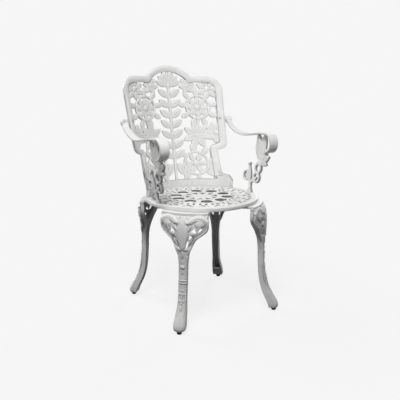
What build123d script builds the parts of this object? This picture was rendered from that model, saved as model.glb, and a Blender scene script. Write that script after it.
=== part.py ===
from build123d import *
import os
from math import cos, radians, sin, sqrt

# Garden armchair of cast aluminium, in millimetres and degrees.
# +Z is up, the sitter looks along -Y, and left and right are as seen from the front.

# Seat casting
seat_height = 420.0
seat_radius = 208.0
seat_rim_width = 24.0
seat_rim_thickness = 14.0
seat_rim_round = 3.0
seat_web_thickness = 7.0
seat_web_recess = 2.0

# Back casting, heights measured up from the seat
back_height = 476.0
back_lean_run = 90.0
back_top_radius = 470.0
back_rim_width = 23.0
back_rim_thickness = 14.0
back_web_thickness = 6.0
crest_half_width = 98.0
shoulder_height = 434.0
shoulder_half_width = 217.0
shoulder_corner_radius = 52.0
hip_half_width = 201.0
hip_height = 156.0
hip_corner_radius = 32.0
waist_half_width = 168.0
waist_height = 142.0
base_band_height = 28.0
base_band_thickness = 14.0
base_band_half_angle = 67.0
wing_height = 42.0
wing_half_span = 9.0
wing_end_round = 18.0

# Arm castings
arm_half_width = 224.0
arm_splay = 2.7
arm_width = 35.0
arm_thickness = 7.0
arm_taper = 12.0
arm_height = 633.0
arm_dip_setback = 54.0
arm_rise_angle = 48.0
scroll_radius = 33.5
scroll_reach = 111.0
scroll_height = 614.0
bracket_thickness = 8.0
bracket_foot_angle = 11.2
bracket_foot_radius = 11.0
bracket_foot_height = 12.0
rail_bolt_half_width = 195.0
rail_bolt_height = 267.0
rail_boss_radius = 9.0
rail_boss_stand = 0.6
ear_thickness = 8.0
ear_width = 26.0
ear_reach = 36.0

# Leg castings
leg_wall = 5.0
leg_flange_thickness = 7.0
leg_flange_ledge = 14.0
leg_flange_inset = 3.0
leg_bolt_half_angle = 13.0
knee_reach = 241.0
knee_half_width = 80.0
shin_reach = 239.5
shin_half_width = 15.0
ankle_reach = 250.0
ankle_half_width = 13.2
toe_reach = 297.0
toe_half_width = 21.0
toe_bulge = 11.0

# Levelling glides
glide_height = 12.0
glide_pad_radius = 8.5
glide_pad_height = 9.0
glide_reach = 281.0
stud_radius = 4.0
stud_grip = 26.0
stud_neck_radius = 3.0
stud_neck_depth = 4.0
stud_collar_width = 13.0
stud_collar_gap = 0.5
running_clearance = 0.05

# Fasteners
bolt_radius = 3.0
bolt_head_radius = 5.25
bolt_head_height = 3.3
bolt_socket_width = 4.0
bolt_socket_depth = 1.8
thread_engagement = 8.0
thread_clearance = 0.03
hole_clearance = 0.3
blind_hole_spare = 1.5
washer_radius = 6.2
washer_thickness = 1.6
nut_width = 10.0
nut_thickness = 5.0
centre_bolt_angle = 10.0

# Places that follow from the sizes above
bolt_circle = seat_radius - seat_rim_width / 2
seat_underside = seat_height - seat_rim_thickness
leg_top = seat_underside - leg_flange_thickness
toe_arc_radius = (toe_half_width**2 + toe_bulge**2) / (2 * toe_bulge)
front_reach = (toe_reach - toe_arc_radius) * cos(radians(45)) + toe_arc_radius
rear_reach = bolt_circle + back_lean_run + back_rim_thickness / 2
seat_centre_y = (front_reach - rear_reach) / 2
corners = {"front_left": -45, "front_right": 45, "rear_right": 135, "rear_left": 225}

os.makedirs("parts", exist_ok=True)


def finish(builder, name):
    """Label a finished piece and write it to its own file."""
    builder.part.label = name
    export_step(builder.part, f"parts/{name}.step")


def seat_plane(height, turn=0):
    """A level plane on the seat's axis, turned about it."""
    x_dir = (cos(radians(turn)), sin(radians(turn)), 0)
    return Plane(origin=(0, seat_centre_y, height), x_dir=x_dir, z_dir=(0, 0, 1))


def around_seat(angle):
    """A point on the bolt circle, seen from above in the seat's own plane."""
    return (bolt_circle * cos(radians(angle)), bolt_circle * sin(radians(angle)))


leg_bolt_angles = {
    corner: [turn - 90 - leg_bolt_half_angle, turn - 90 + leg_bolt_half_angle]
    for corner, turn in corners.items()
}
centre_bolt_angles = [90 - centre_bolt_angle, 90 + centre_bolt_angle]
arm_foot_angles = {"right": -bracket_foot_angle, "left": 180 + bracket_foot_angle}


# Ornament strokes
class Leaf(BaseSketchObject):
    """A pointed leaf that grows from the origin along +X."""

    def __init__(self, length, width, rotation=0, mode=Mode.ADD):
        with BuildSketch(mode=Mode.PRIVATE) as leaf:
            with BuildLine():
                ThreePointArc((0, 0), (length / 2, width / 2), (length, 0))
                ThreePointArc((length, 0), (length / 2, -width / 2), (0, 0))
            make_face()
        super().__init__(obj=leaf.sketch, rotation=rotation, align=None, mode=mode)


class Ring(BaseSketchObject):
    """A round hoop of a given middle radius and stroke."""

    def __init__(self, radius, stroke, rotation=0, mode=Mode.ADD):
        with BuildSketch(mode=Mode.PRIVATE) as ring:
            Circle(radius + stroke / 2)
            Circle(radius - stroke / 2, mode=Mode.SUBTRACT)
        super().__init__(obj=ring.sketch, rotation=rotation, align=None, mode=mode)


def stem(start, end, width):
    """A straight round-ended stroke between two points."""
    SlotArc(Edge.make_line(start, end), width)


def curl(radius, start_angle, sweep, width):
    """A round-ended stroke along an arc about the origin."""
    SlotArc(Edge.make_circle(radius, Plane.XY, start_angle, start_angle + sweep), width)


def sprig(base, angles, out=0):
    """Places for leaves that fan out from one point, each starting a little way out."""
    return [
        Location((base[0] + out * cos(radians(a)), base[1] + out * sin(radians(a))), a)
        for a in angles
    ]


# Seat: a plain rim and a pierced web of petals, hoops and leaves about the middle
seat_web_radius = seat_radius - seat_rim_width
inner_hoop = 0.34 * seat_web_radius
outer_hoop = 0.69 * seat_web_radius
hoop_gap = outer_hoop - inner_hoop
border = seat_web_radius - outer_hoop
seat_stroke = 8.0
seat_ring_stroke = 7.0
seat_leaf_width = 18.0
seat_repeats = 10

with BuildSketch(seat_plane(seat_height - seat_web_recess - seat_web_thickness)) as seat_ornament:
    Ring(inner_hoop, seat_stroke)
    Ring(outer_hoop, seat_stroke)
    Circle(0.09 * seat_web_radius)
    with PolarLocations(0, seat_repeats):
        Leaf(inner_hoop + 2, 0.3 * inner_hoop)
    with PolarLocations(inner_hoop + hoop_gap / 2, seat_repeats):
        Ring(hoop_gap / 2 - seat_ring_stroke, seat_ring_stroke)
    with PolarLocations(inner_hoop - 2, seat_repeats, start_angle=180 / seat_repeats):
        Leaf(hoop_gap + 4, seat_leaf_width)
    with PolarLocations(outer_hoop - 2, 2 * seat_repeats):
        Leaf(border + 6, 0.37 * border)
    with PolarLocations(outer_hoop + 0.6 * border, 2 * seat_repeats, start_angle=90 / seat_repeats):
        Ring(0.22 * border, seat_ring_stroke)
        Leaf(0.55 * border, 0.19 * border)
    with PolarLocations(outer_hoop, 2 * seat_repeats, start_angle=90 / seat_repeats):
        Leaf(0.46 * border, 0.23 * border)
    Circle(seat_web_radius + seat_rim_width / 2, mode=Mode.INTERSECT)

with BuildPart() as seat_panel:
    with BuildSketch(seat_plane(seat_underside)):
        Circle(seat_radius)
        Circle(seat_radius - seat_rim_width, mode=Mode.SUBTRACT)
    extrude(amount=seat_rim_thickness)
    outer_edges = seat_panel.edges().filter_by(GeomType.CIRCLE).sort_by(SortBy.RADIUS)[-2:]
    fillet(outer_edges, radius=seat_rim_round)
    with BuildSketch(seat_plane(seat_underside)):
        front_bolt_angles = leg_bolt_angles["front_left"] + leg_bolt_angles["front_right"]
        with Locations(*[around_seat(a) for a in front_bolt_angles]):
            Circle(bolt_radius + thread_clearance)
    extrude(amount=thread_engagement + blind_hole_spare, mode=Mode.SUBTRACT)
    extrude(seat_ornament.sketch, amount=seat_web_thickness)
    with BuildSketch(seat_plane(seat_underside)):
        rear_bolt_angles = leg_bolt_angles["rear_left"] + leg_bolt_angles["rear_right"]
        through_angles = rear_bolt_angles + centre_bolt_angles + list(arm_foot_angles.values())
        with Locations(*[around_seat(a) for a in through_angles]):
            Circle(bolt_radius + hole_clearance)
    extrude(amount=seat_rim_thickness, mode=Mode.SUBTRACT)
finish(seat_panel, "seat_panel")


# Back: its wall is a leaning cone, whose level sections are arcs that open out upwards
def wall_radius(height):
    return bolt_circle + (back_top_radius - bolt_circle) * height / back_height


def wall_centre(height):
    return bolt_circle + back_lean_run * height / back_height - wall_radius(height)


def wall_point(x, height):
    y = wall_centre(height) + sqrt(wall_radius(height) ** 2 - x**2)
    return Vector(x, seat_centre_y + y, seat_height + height)


def wall_normal(x, height):
    """Direction that points out of the wall's rear face."""
    across = sqrt(wall_radius(height) ** 2 - x**2)
    centre_slope = (wall_centre(back_height) - wall_centre(0)) / back_height
    radius_slope = (back_top_radius - bolt_circle) / back_height
    rise = -across * centre_slope - wall_radius(height) * radius_slope
    return Vector(x, across, rise).normalized()


wall_spare = 12.0


def wall(thickness):
    """The whole cone's wall, a little taller than the back."""
    for outward, mode in ((thickness / 2, Mode.ADD), (-thickness / 2, Mode.SUBTRACT)):
        sections = []
        for height in (-wall_spare, back_height + wall_spare):
            with BuildSketch(Plane.XY.offset(seat_height + height)) as section:
                with Locations((0, seat_centre_y + wall_centre(height))):
                    Circle(wall_radius(height) + outward)
            sections.append(section.sketch)
        loft(sections=sections, ruled=True, mode=mode)


# Front elevation of the back, drawn behind it and pushed forward through the wall
elevation = Plane(
    origin=(0, seat_centre_y + rear_reach + wall_spare, seat_height),
    x_dir=(1, 0, 0),
    z_dir=(0, -1, 0),
)
elevation_depth = rear_reach + wall_spare

with BuildSketch(elevation) as back_outline:
    with BuildLine():
        ThreePointArc(
            (-crest_half_width, shoulder_height),
            (0, back_height),
            (crest_half_width, shoulder_height),
        )
        for x_sign in (-1, 1):
            FilletPolyline(
                (x_sign * crest_half_width, shoulder_height),
                (x_sign * shoulder_half_width, shoulder_height),
                (x_sign * hip_half_width, hip_height),
                (x_sign * waist_half_width, waist_height),
                (x_sign * waist_half_width, 0),
                radius=(shoulder_corner_radius, hip_corner_radius, 0),
            )
        Line((-waist_half_width, 0), (waist_half_width, 0))
    make_face()

# Ornament of the back, its right half: a palmette, a rosette, a hooped scroll and leaves
ornament_stroke = 9.0
hoop_radius = 45.0
hub_radius = 12.0
knot_radius = 11.0
petal_start = 9.0
long_leaf_length = 57.0
long_leaf_width = 26.0
short_leaf_length = 34.0
short_leaf_width = 21.0
stem_leaf_count = 7
stem_leaf_pitch = 40.0
stem_leaf_slope = 34.0
palmette = (0, shoulder_height - 36)
rosette = (0.53 * shoulder_half_width, 0.72 * shoulder_height)
volute = (0.52 * waist_half_width, base_band_height + 0.54 * (waist_height - base_band_height))
vine = ((volute[0] + rosette[0]) / 2, (volute[1] + rosette[1]) / 2)
corner_knot = (shoulder_half_width - 57, shoulder_height - 48)
notch_knot = (crest_half_width - 18, shoulder_height - 36)
hip_knot = (hip_half_width - 26, hip_height + 56)
reed = (0.23 * waist_half_width, base_band_height + 14)
rail_knot = (waist_half_width - 17, base_band_height + 10)

long_leaves = sprig(palmette, (90, 66, 42, 18)) + sprig(vine, range(-5, 355, 51))
long_leaves += sprig(rail_knot, (78, 104)) + sprig(reed, (62, 118))
for step in range(stem_leaf_count):
    stem_leaf_base = volute[1] + hoop_radius / 2 + stem_leaf_pitch * step
    long_leaves += sprig((0, stem_leaf_base), [stem_leaf_slope])
short_leaves = sprig(rosette, range(0, 360, 45), petal_start)
short_leaves += sprig(rosette, range(11, 371, 40), hoop_radius)
short_leaves += sprig(volute, range(0, 360, 60), petal_start)
short_leaves += sprig(volute, range(7, 367, 45), hoop_radius)
short_leaves += sprig(corner_knot, range(3, 363, 51), petal_start)
short_leaves += sprig(notch_knot, range(8, 368, 60)) + sprig(hip_knot, range(65, 300, 39), petal_start)

with BuildSketch(elevation) as back_ornament:
    with Locations(*long_leaves):
        Leaf(long_leaf_length, long_leaf_width)
    with Locations(*short_leaves):
        Leaf(short_leaf_length, short_leaf_width)
    with Locations(rosette, volute):
        Ring(hoop_radius, ornament_stroke)
        Circle(hub_radius)
    with Locations(palmette, vine, corner_knot, notch_knot, hip_knot):
        Circle(knot_radius)
    stem((reed[0], 0), (reed[0] * 1.1, volute[1]), ornament_stroke)
    stem((volute[0], volute[1] + hoop_radius), (rosette[0], rosette[1] - hoop_radius), ornament_stroke)
    mirror(about=Plane.YZ)
    stem((0, 0), palmette, ornament_stroke + 2)

with BuildSketch(elevation) as back_field:
    add(back_outline.sketch_local)
    offset(amount=-back_rim_width, mode=Mode.REPLACE)

with BuildSketch(elevation) as back_openings:
    add(back_field.sketch_local)
    add(back_ornament.sketch_local, mode=Mode.SUBTRACT)
    with Locations((0, base_band_height / 2)):
        Rectangle(2 * waist_half_width, base_band_height, mode=Mode.SUBTRACT)
# Openings too small to cast are left filled
smallest_opening = 15.0
open_faces = [face for face in back_openings.sketch.faces() if face.area > smallest_opening]

rail_bolt_planes = {}
for side, x_sign in (("left", -1), ("right", 1)):
    normal = wall_normal(x_sign * rail_bolt_half_width, rail_bolt_height)
    rail_bolt_planes[side] = Plane(
        origin=wall_point(x_sign * rail_bolt_half_width, rail_bolt_height),
        x_dir=Vector(normal.Y, -normal.X, 0) * x_sign,
        z_dir=normal,
    )
rail_boss_half = back_rim_thickness / 2 + rail_boss_stand
band_start = 90 - base_band_half_angle


def wing_end_plane(angle, x_sign):
    """A plane across the top corner of a wing's end, with x along the wing and y down."""
    out = Vector(cos(radians(angle)), sin(radians(angle)), 0)
    along = Vector(-out.Y, out.X, 0) * x_sign
    tip = out * bolt_circle - along * base_band_thickness / 2
    origin = (tip.X, seat_centre_y + tip.Y, seat_height + wing_height)
    return Plane(origin=origin, x_dir=along, z_dir=out * -x_sign)


with BuildPart() as back_plate:
    wall(back_web_thickness)
    with BuildSketch(elevation):
        add(back_field.sketch_local)
        offset(amount=back_rim_width / 2, mode=Mode.REPLACE)
    extrude(amount=elevation_depth, mode=Mode.INTERSECT)

with BuildPart() as back_panel:
    wall(back_rim_thickness)
    with BuildSketch(elevation):
        add(back_outline.sketch_local)
        add(back_field.sketch_local, mode=Mode.SUBTRACT)
    extrude(amount=elevation_depth, mode=Mode.INTERSECT)
    add(back_plate.part)
    with BuildSketch(seat_plane(seat_height)):
        curl(bolt_circle, band_start, 2 * base_band_half_angle, base_band_thickness)
    extrude(amount=base_band_height)
    with BuildSketch(seat_plane(seat_height)):
        for wing_start in (band_start, 180 - band_start - 2 * wing_half_span):
            curl(bolt_circle, wing_start, 2 * wing_half_span, base_band_thickness)
    extrude(amount=wing_height)
    for angle, x_sign in ((band_start, 1), (180 - band_start, -1)):
        with BuildSketch(wing_end_plane(angle, x_sign)):
            Rectangle(2 * wing_end_round, 2 * wing_end_round)
            with Locations((wing_end_round, wing_end_round)):
                Circle(wing_end_round, mode=Mode.SUBTRACT)
        extrude(amount=base_band_thickness, both=True, mode=Mode.SUBTRACT)
    for plane in rail_bolt_planes.values():
        with BuildSketch(plane):
            Circle(rail_boss_radius)
        extrude(amount=rail_boss_half, both=True)
        with BuildSketch(plane):
            Circle(bolt_radius + hole_clearance)
        extrude(amount=rail_boss_half, both=True, mode=Mode.SUBTRACT)
    with BuildSketch(seat_plane(seat_height)):
        with Locations(*[around_seat(a) for a in rear_bolt_angles + centre_bolt_angles]):
            Circle(bolt_radius + thread_clearance)
    extrude(amount=thread_engagement + blind_hole_spare, mode=Mode.SUBTRACT)
    extrude(open_faces, amount=elevation_depth, dir=elevation.z_dir, clean=False, mode=Mode.SUBTRACT)
finish(back_panel, "back_panel")


# Arms: a strap that curls down in front, a pierced bracket under it and an ear behind the rail
arm_plane = Plane(
    origin=(arm_half_width, seat_centre_y, 0),
    x_dir=(sin(radians(arm_splay)), cos(radians(arm_splay)), 0),
    z_dir=(cos(radians(arm_splay)), -sin(radians(arm_splay)), 0),
)
ear_plane = rail_bolt_planes["right"].offset(rail_boss_half)
ear_end = ear_plane.from_local_coords(Vector(ear_reach, 0, ear_thickness / 2))
arm_end = arm_plane.to_local_coords(ear_end)

with BuildLine() as strap_line:
    CenterArc((-scroll_reach, scroll_height), scroll_radius, 270, -180)
    strap = Spline(
        (-scroll_reach, scroll_height + scroll_radius),
        (arm_dip_setback, arm_height),
        (arm_end.X, arm_end.Y),
        tangents=((1, 0), (cos(radians(arm_rise_angle)), sin(radians(arm_rise_angle)))),
    )


def strap_height(y):
    """Height of the strap's middle line at a place along the arm."""
    points = [strap.position_at(step / 200) for step in range(201)]
    return min(points, key=lambda point: abs(point.X - y)).Y


foot_x, foot_y = around_seat(-bracket_foot_angle)
foot = Vector(foot_x, seat_centre_y + foot_y, seat_height)
bracket_top_y = foot_y - 2
bracket_top = arm_plane.from_local_coords(Vector(bracket_top_y, strap_height(bracket_top_y), 0))
lean = Vector(bracket_top.X - foot.X, 0, bracket_top.Z - foot.Z)
bracket_plane = Plane(origin=foot, x_dir=(0, 1, 0), z_dir=Vector(0, 1, 0).cross(lean))
bracket_rise = lean.length
# Ornament of the bracket, in shares of its height from the foot to the strap
bracket_fork = (4.0, 0.17 * bracket_rise)
bracket_rear_hoop = (34.0, 0.28 * bracket_rise)
bracket_front_hoops = [(-30.0, 0.27 * bracket_rise), (-34.0, 0.43 * bracket_rise)]
bracket_fan = (-40.0, 0.53 * bracket_rise)
bracket_ties = [(-11.0, 0.98 * bracket_rise), (-52.0, 0.99 * bracket_rise)]
bracket_stroke = 12.0
bracket_hoop_radius = 17.0
bracket_hoop_stroke = 8.0
bracket_knot_radius = 13.0
bracket_bud_radius = 7.0
bracket_leaf_length = 46.0
bracket_leaf_width = 16.0
bracket_stamen_length = 72.0
bracket_stamen_slope = 75.0
# Broad leaves that fan out under the strap: slope, length and width
bracket_fan_leaves = [(75, 112, 42), (97, 110, 40), (124, 62, 36), (152, 60, 28), (184, 46, 20)]
scroll_tip = (-scroll_reach - foot_y, scroll_height - scroll_radius - seat_height)

# The strap's outer edge draws in towards its end behind the rail
taper_start = arm_plane.from_local_coords(Vector(arm_dip_setback, 0, arm_width / 2))
taper_end = arm_plane.from_local_coords(Vector(arm_end.X, 0, arm_width / 2 - arm_taper))
taper_line = taper_end - taper_start
taper_plane = Plane(origin=taper_start, x_dir=taper_line, z_dir=taper_line.cross(Vector(0, 0, 1)))

with BuildPart() as right_arm:
    with BuildSketch(arm_plane):
        trace(strap_line.line, line_width=arm_thickness)
    extrude(amount=arm_width / 2, both=True)
    split(bisect_by=taper_plane, keep=Keep.BOTTOM)
    with BuildSketch(bracket_plane):
        stem((0, 0), bracket_fork, bracket_stroke)
        stem(bracket_fan, scroll_tip, bracket_stroke)
        for tie in bracket_ties:
            stem(bracket_fan, tie, bracket_stroke)
        for slope, length, width in bracket_fan_leaves:
            with Locations(*sprig(bracket_fan, [slope])):
                Leaf(length, width)
        with Locations(bracket_fan):
            Circle(bracket_knot_radius)
        with Locations(bracket_rear_hoop, *bracket_front_hoops):
            Ring(bracket_hoop_radius, bracket_hoop_stroke)
        with Locations(*sprig(bracket_fork, (40, 146))):
            Leaf(bracket_leaf_length, bracket_leaf_width)
        with Locations(*sprig(bracket_fork, [bracket_stamen_slope])):
            Leaf(bracket_stamen_length, bracket_leaf_width)
        with Locations(*sprig(bracket_fork, [bracket_stamen_slope], bracket_stamen_length)):
            Circle(bracket_bud_radius)
    extrude(amount=bracket_thickness / 2, both=True)
    with BuildSketch(seat_plane(seat_height)):
        with Locations((foot_x, foot_y)):
            Circle(bracket_foot_radius)
    extrude(amount=bracket_foot_height)
    with BuildSketch(ear_plane):
        with Locations((ear_reach / 2, 0)):
            SlotCenterToCenter(ear_reach, ear_width)
    extrude(amount=ear_thickness)
    split(bisect_by=seat_plane(seat_height), keep=Keep.TOP)
    with BuildSketch(ear_plane):
        Circle(bolt_radius + hole_clearance)
    extrude(amount=ear_thickness, mode=Mode.SUBTRACT)
    with BuildSketch(seat_plane(seat_height)):
        with Locations((foot_x, foot_y)):
            Circle(bolt_radius + thread_clearance)
    extrude(amount=thread_engagement + blind_hole_spare, mode=Mode.SUBTRACT)
finish(right_arm, "right_arm")

with BuildPart() as left_arm:
    mirror(right_arm.part, about=Plane.YZ)
finish(left_arm, "left_arm")


# Legs: a hollow cabriole shell, open on its inner side, under a flange that bolts to the rim
# Each row is the share of the height, the outward reach, half the width, bulge and depth
knee_top_setback = 15.0
leg_profile = [
    (0.000, toe_reach - 2, toe_half_width - 2, toe_bulge, 30),
    (0.031, toe_reach, toe_half_width, toe_bulge, 35),
    (0.077, toe_reach - 8, toe_half_width - 1, toe_bulge - 2, 35),
    (0.134, toe_reach - 22, toe_half_width - 3, toe_bulge - 4, 32),
    (0.206, ankle_reach + 10, ankle_half_width + 1.6, 5.5, 28),
    (0.296, ankle_reach, ankle_half_width, 5, 26),
    (0.411, shin_reach + 4, shin_half_width - 0.8, 5, 24),
    (0.540, shin_reach, shin_half_width, 5, 22),
    (0.694, shin_reach + 0.5, shin_half_width + 6.5, 7, 27),
    (0.758, knee_reach - 0.5, shin_half_width + 13.5, 10, 34),
    (0.823, knee_reach + 0.5, knee_half_width - 28, 17, 41),
    (0.874, knee_reach, knee_half_width - 7, 24, 43),
    (0.951, knee_reach - 5, knee_half_width, 20, 38),
    (1.000, knee_reach - knee_top_setback, knee_half_width + 3, 16, 27),
]
channel_rows = slice(2, None)
knee_middle = glide_height + 0.874 * (leg_top - glide_height)
# Pierced leaves of the knee: start across, start above the knee's middle, slope, length and width
knee_leaves = [(22, -30, 63, 44, 13), (40, -8, 31, 28, 12), (9, -66, 73, 34, 9)]
flange_reach = knee_reach - knee_top_setback - leg_flange_inset
flange_half_width = knee_half_width + 3 - leg_flange_inset
flange_depth = knee_reach - bolt_circle + 2 * leg_flange_ledge


def leg_section(share, reach, half_width, bulge, depth):
    """A level cut of the leg, which is round in front and square behind."""
    height = glide_height + share * (leg_top - glide_height)
    with BuildSketch(Plane.XY.offset(height)) as section:
        with BuildLine():
            ThreePointArc((-half_width, bulge - reach), (0, -reach), (half_width, bulge - reach))
            Polyline(
                (half_width, bulge - reach),
                (half_width, depth - reach),
                (-half_width, depth - reach),
                (-half_width, bulge - reach),
            )
        make_face()
    return section.sketch


def channel_section(share, reach, half_width, bulge, depth):
    """A level cut of the hollow, one wall in from the leg and open behind."""
    inner = half_width - leg_wall
    return leg_section(share, reach - leg_wall, inner, bulge * inner / half_width, depth + leg_wall)


with BuildPart() as leg_casting:
    loft(sections=[leg_section(*row) for row in leg_profile])
    loft(sections=[channel_section(*row) for row in leg_profile[channel_rows]], mode=Mode.SUBTRACT)
    with BuildSketch(Plane.XY.offset(leg_top)):
        Circle(flange_reach)
        Circle(bolt_circle - leg_flange_ledge, mode=Mode.SUBTRACT)
        with Locations((0, -knee_reach)):
            Rectangle(2 * flange_half_width, 2 * flange_depth, mode=Mode.INTERSECT)
    extrude(amount=leg_flange_thickness)
    with BuildSketch(Plane.XZ.offset(bolt_circle)):
        for across, above, slope, length, width in knee_leaves:
            with Locations(*sprig((across, knee_middle + above), [slope])):
                Leaf(length, width)
        mirror(about=Plane.YZ)
    extrude(amount=knee_reach, mode=Mode.SUBTRACT)
    with BuildSketch(Plane.XY.offset(leg_top)):
        with Locations(*[around_seat(a) for a in (-90 - leg_bolt_half_angle, -90 + leg_bolt_half_angle)]):
            Circle(bolt_radius + hole_clearance)
    extrude(amount=leg_flange_thickness, mode=Mode.SUBTRACT)
    with BuildSketch(Plane.XY.offset(glide_height)):
        with Locations((0, -glide_reach)):
            Circle(stud_radius + running_clearance)
    extrude(amount=stud_grip + blind_hole_spare, mode=Mode.SUBTRACT)

for corner, turn in corners.items():
    with BuildPart(seat_plane(0, turn)) as leg:
        add(leg_casting.part)
    finish(leg, f"{corner}_leg")


# Levelling glides: a moulded pad that turns freely on the neck of a threaded stud
def glide_plane(turn, height):
    """A level plane on the axis of one glide."""
    x = glide_reach * sin(radians(turn))
    y = seat_centre_y - glide_reach * cos(radians(turn))
    return Plane(origin=(x, y, height))


pad_round = 0.2 * glide_pad_radius
collar_top = glide_height - stud_collar_gap
for corner, turn in corners.items():
    with BuildPart() as pad:
        with BuildSketch(glide_plane(turn, 0)):
            Circle(glide_pad_radius)
        extrude(amount=glide_pad_height)
        fillet(pad.edges().filter_by(GeomType.CIRCLE), radius=pad_round)
        with BuildSketch(glide_plane(turn, glide_pad_height)):
            Circle(stud_neck_radius + running_clearance)
        extrude(amount=-stud_neck_depth - running_clearance, mode=Mode.SUBTRACT)
    finish(pad, f"{corner}_glide_pad")
    with BuildPart() as stud:
        with BuildSketch(glide_plane(turn, glide_pad_height - stud_neck_depth)):
            Circle(stud_neck_radius)
        extrude(amount=stud_neck_depth)
        with BuildSketch(glide_plane(turn, glide_pad_height)):
            RegularPolygon(stud_collar_width / 2, 6, major_radius=False)
        extrude(amount=collar_top - glide_pad_height)
        with BuildSketch(glide_plane(turn, collar_top)):
            Circle(stud_radius)
        extrude(amount=stud_collar_gap + stud_grip)
    finish(stud, f"{corner}_glide_stud")


# Fasteners, each made with its bearing face on z = 0 and its shank along +Z
def bolt_blank(length):
    with BuildPart() as bolt:
        with BuildSketch():
            Circle(bolt_head_radius)
        extrude(amount=-bolt_head_height)
        fillet(bolt.edges().sort_by(Axis.Z)[0], radius=0.6 * bolt_head_height)
        with BuildSketch(Plane.XY.offset(-bolt_head_height)):
            RegularPolygon(bolt_socket_width / 2, 6, major_radius=False)
        extrude(amount=bolt_socket_depth, mode=Mode.SUBTRACT)
        with BuildSketch():
            Circle(bolt_radius)
        extrude(amount=length)
    return bolt.part


def washer_blank():
    with BuildPart() as washer:
        with BuildSketch():
            Circle(washer_radius)
            Circle(bolt_radius + hole_clearance, mode=Mode.SUBTRACT)
        extrude(amount=washer_thickness)
    return washer.part


def nut_blank():
    with BuildPart() as nut:
        with BuildSketch():
            RegularPolygon(nut_width / 2, 6, major_radius=False)
            Circle(bolt_radius + thread_clearance, mode=Mode.SUBTRACT)
        extrude(amount=nut_thickness)
    return nut.part


def bolts_from_below(name, angles, seat_of_head, grip):
    """Upright bolts on the bolt circle, each with a washer under its head."""
    for kind, blank, height in (
        ("bolt", bolt_blank(washer_thickness + grip + thread_engagement), seat_of_head - washer_thickness),
        ("washer", washer_blank(), seat_of_head - washer_thickness),
    ):
        with BuildPart(seat_plane(height)) as group:
            with Locations(*[around_seat(a) for a in angles]):
                add(blank)
        plural = "" if len(angles) == 1 else "s"
        finish(group, f"{name}_{kind}{plural}")


for corner, angles in leg_bolt_angles.items():
    grip = leg_flange_thickness
    if corner.startswith("rear"):
        grip += seat_rim_thickness
    bolts_from_below(f"{corner}_leg", angles, leg_top, grip)
bolts_from_below("back_centre", centre_bolt_angles, seat_underside, seat_rim_thickness)
for side, angle in arm_foot_angles.items():
    bolts_from_below(f"{side}_arm_foot", [angle], seat_underside, seat_rim_thickness)

rail_stack = 2 * rail_boss_half + ear_thickness
for side, plane in rail_bolt_planes.items():
    with BuildPart(plane.offset(-rail_boss_half)) as rail_bolt:
        add(bolt_blank(rail_stack + washer_thickness + nut_thickness))
    finish(rail_bolt, f"{side}_rail_bolt")
    with BuildPart(plane.offset(rail_stack - rail_boss_half)) as rail_washer:
        add(washer_blank())
    finish(rail_washer, f"{side}_rail_washer")
    with BuildPart(plane.offset(rail_stack - rail_boss_half + washer_thickness)) as rail_nut:
        add(nut_blank())
    finish(rail_nut, f"{side}_rail_nut")
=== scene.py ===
# %% [markdown]
# # A white cast garden armchair
# The real chair is a set of aluminium castings that are bolted together and powder-coated white.
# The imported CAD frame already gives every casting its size, its place and its openings.
# This lesson adds what the foundry and the paint shop add: carved relief, edges that are soft
# because molten metal doesn't fill a sharp corner, small fasteners, and the coat itself.

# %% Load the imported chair
from math import cos, pi, radians, sin

import bmesh
import bpy
import numpy as np
from mathutils import Matrix, Vector
from mathutils.kdtree import KDTree


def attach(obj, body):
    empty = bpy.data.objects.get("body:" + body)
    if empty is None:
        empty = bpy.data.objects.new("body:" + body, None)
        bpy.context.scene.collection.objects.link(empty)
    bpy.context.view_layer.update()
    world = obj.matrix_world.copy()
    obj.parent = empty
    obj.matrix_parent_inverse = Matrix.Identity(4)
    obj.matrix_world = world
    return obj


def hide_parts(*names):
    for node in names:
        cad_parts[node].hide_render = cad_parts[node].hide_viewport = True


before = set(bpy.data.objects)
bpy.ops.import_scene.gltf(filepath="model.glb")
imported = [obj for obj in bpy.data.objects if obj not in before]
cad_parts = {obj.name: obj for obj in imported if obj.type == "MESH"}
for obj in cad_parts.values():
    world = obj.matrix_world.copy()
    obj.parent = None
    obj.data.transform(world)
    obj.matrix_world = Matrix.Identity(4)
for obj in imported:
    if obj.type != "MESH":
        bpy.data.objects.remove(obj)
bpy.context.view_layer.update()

print("nodes of the packed chair:", len(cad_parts))

# %% [markdown]
# ## The sizes that the relief follows
# Relief has to land on the castings, so the sizes that shape them are repeated here.
# A pattern maker draws in millimetres, and so do the drawings below. They become metres
# at the moment when a flat drawing is laid on its casting.

# %% Sizes in millimetres
MM = 0.001
seat_y = -37.754
seat_height = 420
seat_rim_thickness = 14
seat_web_radius = 184
seat_web_middle = 414.5
bolt_circle = 196
back_height = 476
back_lean_run = 90
back_top_radius = 470
shoulder_height = 434
shoulder_half_width = 217
crest_half_width = 98
hip_half_width = 201
hip_height = 156
waist_half_width = 168
waist_height = 142
base_band_height = 28
leg_turns = {"front_left": -45, "front_right": 45, "rear_right": 135, "rear_left": 225}
print("chair height", seat_height + back_height, "mm")

# %% [markdown]
# ## The powder coat
# Powder coat is a satin plastic skin, baked on. It has a fine orange-peel ripple, and the
# sand-cast metal under it is slightly uneven. Shade is painted into the coat's colour: the walls
# of holes and channels and the creases are painted darker, as the shade that falls into them, and
# sharp edges get a painted dark line, as the shade where they turn away from the light.
# An attribute on each casting says where that painted shade goes, because a noise alone can't know it.


# %% Node helpers for materials
def new_material(name):
    """A material with its Principled shader, ready for more nodes."""
    material = bpy.data.materials.new(name)
    material.use_nodes = True
    return material, material.node_tree, material.node_tree.nodes["Principled BSDF"]


def add_node(tree, kind, **values):
    """A node with some of its inputs set by name."""
    node = tree.nodes.new(kind)
    for label, value in values.items():
        node.inputs[label.replace("_", " ")].default_value = value
    return node


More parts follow.
